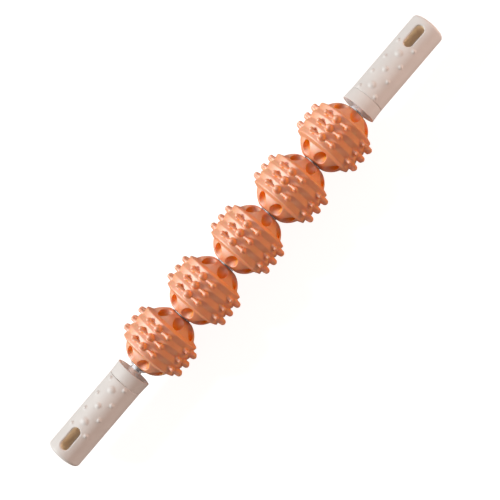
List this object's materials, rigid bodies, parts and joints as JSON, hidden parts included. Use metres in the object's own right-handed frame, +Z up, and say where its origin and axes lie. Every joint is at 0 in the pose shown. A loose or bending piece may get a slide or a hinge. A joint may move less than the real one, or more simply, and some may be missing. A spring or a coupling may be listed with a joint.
{
  "type": "massage roller stick",
  "caption": "Straight massage roller stick: studded rubber balls spin on a steel tube between two round handles with hang slots.",
  "frame": {"origin": "centre of the stick, on the tube's axis midway between the two end faces", "axes": "+X along the tube towards the right handle, +Z up, the way the hang slots and grip bumps face"},
  "size_m": [0.44, 0.0616, 0.0616],
  "materials": {
    "coral_rubber": "matte soft rubber",
    "hub_plastic": "matte moulded plastic",
    "grip_plastic": "satin moulded plastic, pinkish beige",
    "core_plastic": "matte moulded plastic",
    "chromed_steel": "polished"
  },
  "bodies": {
    "stick": {"centre_tube": "chromed_steel", "spacer_washer_1": "chromed_steel", "spacer_washer_2": "chromed_steel", "spacer_washer_3": "chromed_steel", "spacer_washer_4": "chromed_steel", "spacer_washer_5": "chromed_steel", "spacer_washer_6": "chromed_steel", "left_end_ring": "chromed_steel", "left_handle_core": "core_plastic", "left_handle_collar": "grip_plastic", "left_handle_grip": "grip_plastic", "right_end_ring": "chromed_steel", "right_handle_core": "core_plastic", "right_handle_collar": "grip_plastic", "right_handle_grip": "grip_plastic"},
    "ball_1": {"ball_1_shell": "coral_rubber", "ball_1_hub": "hub_plastic"},
    "ball_2": {"ball_2_shell": "coral_rubber", "ball_2_hub": "hub_plastic"},
    "ball_3": {"ball_3_shell": "coral_rubber", "ball_3_hub": "hub_plastic"},
    "ball_4": {"ball_4_shell": "coral_rubber", "ball_4_hub": "hub_plastic"},
    "ball_5": {"ball_5_shell": "coral_rubber", "ball_5_hub": "hub_plastic"}
  },
  "joints": [
    {"name": "ball_1_spin", "type": "hinge", "parent": "stick", "child": "ball_1", "pos_m": [-0.10295, 0, 0], "axis": [1, 0, 0], "continuous": true},
    {"name": "ball_2_spin", "type": "hinge", "parent": "stick", "child": "ball_2", "pos_m": [-0.05075, 0, 0], "axis": [1, 0, 0], "continuous": true},
    {"name": "ball_3_spin", "type": "hinge", "parent": "stick", "child": "ball_3", "pos_m": [0.00145, 0, 0], "axis": [1, 0, 0], "continuous": true},
    {"name": "ball_4_spin", "type": "hinge", "parent": "stick", "child": "ball_4", "pos_m": [0.05365, 0, 0], "axis": [1, 0, 0], "continuous": true},
    {"name": "ball_5_spin", "type": "hinge", "parent": "stick", "child": "ball_5", "pos_m": [0.10585, 0, 0], "axis": [1, 0, 0], "continuous": true}
  ]
}
